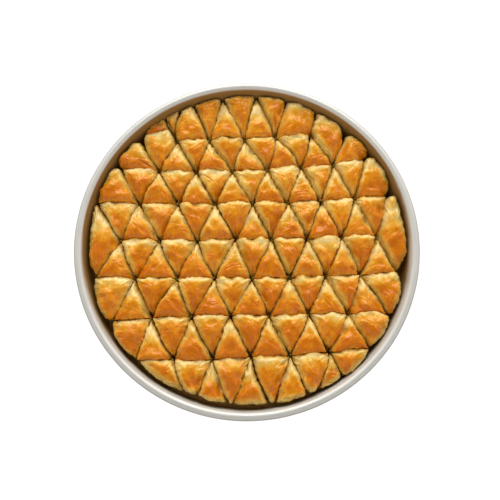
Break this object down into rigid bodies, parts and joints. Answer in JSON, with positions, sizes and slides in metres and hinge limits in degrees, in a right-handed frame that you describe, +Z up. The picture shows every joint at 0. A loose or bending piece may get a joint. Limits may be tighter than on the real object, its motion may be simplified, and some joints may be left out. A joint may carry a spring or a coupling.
{
  "type": "tray of triangle-cut baklava",
  "caption": "Round aluminium baking tray with a rolled rim, filled with golden filo baklava cut into small puffed triangles.",
  "frame": {"origin": "middle of the tray's flat underside, on the surface that the tray stands on", "axes": "+Z up out of the tray; X along the long cuts; +Y from the near rim to the far rim"},
  "size_m": [0.4, 0.4, 0.042],
  "materials": {
    "tray_metal": "satin, slightly worn baking tray",
    "baked_filo": "baked filo pastry, golden brown under a thin syrup glaze"
  },
  "bodies": {
    "root": {"tray": "tray_metal", "baklava": "baked_filo"}
  },
  "joints": []
}
